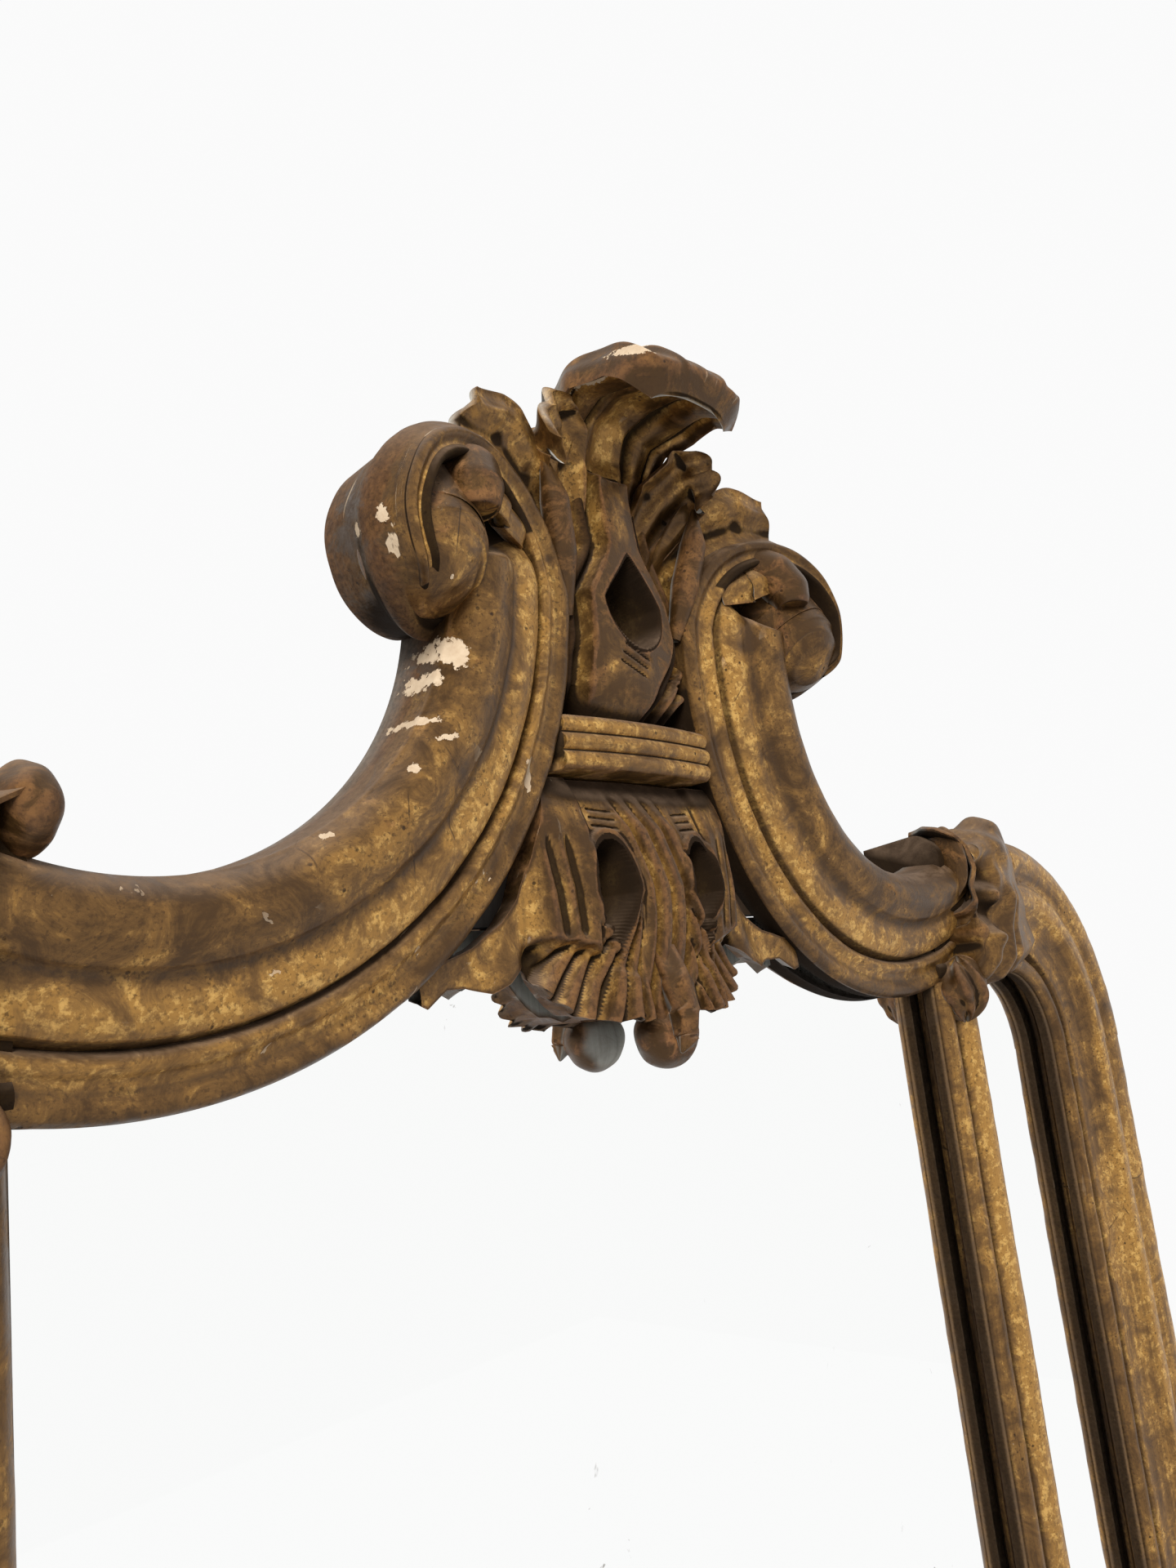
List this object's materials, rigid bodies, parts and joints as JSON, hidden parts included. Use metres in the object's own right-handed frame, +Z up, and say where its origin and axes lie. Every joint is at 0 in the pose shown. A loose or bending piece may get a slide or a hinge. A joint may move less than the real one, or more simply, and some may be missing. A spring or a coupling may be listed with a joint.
{
  "type": "wall mirror",
  "caption": "Tall wall mirror with a carved gilt double frame, margin plates between the frames, rounded shoulders and a crest of C-scrolls with acanthus leaves; hangs from rings on its back.",
  "frame": {"origin": "on the wall plane, midway between the barrels of the two hanging rings", "axes": "+X to the viewer's right, +Y from the front into the wall, +Z up"},
  "size_m": [0.972, 0.1096, 1.4414],
  "materials": {
    "gilt_wood": "aged gold leaf over bole and gesso, worn and dusty",
    "bare_wood": "old sawn softwood, darkened",
    "silvered_glass": "silvered plate glass",
    "iron": "dark forged iron, lightly rusted",
    "ring_iron": "dark iron wire, worn bright where it rubs"
  },
  "bodies": {
    "frame": {"left_scroll": "gilt_wood", "right_scroll": "gilt_wood", "upper_leaf": "gilt_wood", "left_side_leaf": "gilt_wood", "right_side_leaf": "gilt_wood", "ribbon_band": "gilt_wood", "lower_leaf": "gilt_wood", "pendant_bead": "gilt_wood", "left_corner_clasp": "gilt_wood", "right_corner_clasp": "gilt_wood", "left_top_rail": "gilt_wood", "right_top_rail": "gilt_wood", "left_shoulder": "gilt_wood", "right_shoulder": "gilt_wood", "left_outer_upright": "gilt_wood", "right_outer_upright": "gilt_wood", "left_foot_corner": "gilt_wood", "right_foot_corner": "gilt_wood", "foot_rail": "gilt_wood", "left_inner_upright": "gilt_wood", "right_inner_upright": "gilt_wood", "left_inner_corner": "gilt_wood", "right_inner_corner": "gilt_wood", "inner_foot_rail": "gilt_wood", "left_foot_clasp": "gilt_wood", "right_foot_clasp": "gilt_wood", "crest_board": "bare_wood", "left_outer_board": "bare_wood", "right_outer_board": "bare_wood", "left_middle_board": "bare_wood", "right_middle_board": "bare_wood", "left_crest_batten": "bare_wood", "right_crest_batten": "bare_wood", "glue_blocks": "bare_wood", "frame_dowels": "bare_wood", "main_plate": "silvered_glass", "left_margin_plate": "silvered_glass", "right_margin_plate": "silvered_glass", "foot_margin_plate": "silvered_glass", "board_screws": "iron", "batten_screws": "iron", "hanger_screws": "iron", "left_hanger_plate": "iron", "right_hanger_plate": "iron"},
    "left_ring": {"left_hanging_ring": "ring_iron"},
    "right_ring": {"right_hanging_ring": "ring_iron"}
  },
  "joints": [
    {"name": "left_ring_swing", "type": "hinge", "parent": "frame", "child": "left_ring", "pos_m": [-0.448, -0.00354, 0], "axis": [1, 0, 0], "range_deg": [0, 165]},
    {"name": "right_ring_swing", "type": "hinge", "parent": "frame", "child": "right_ring", "pos_m": [0.448, -0.00354, 0], "axis": [1, 0, 0], "range_deg": [0, 165]}
  ]
}
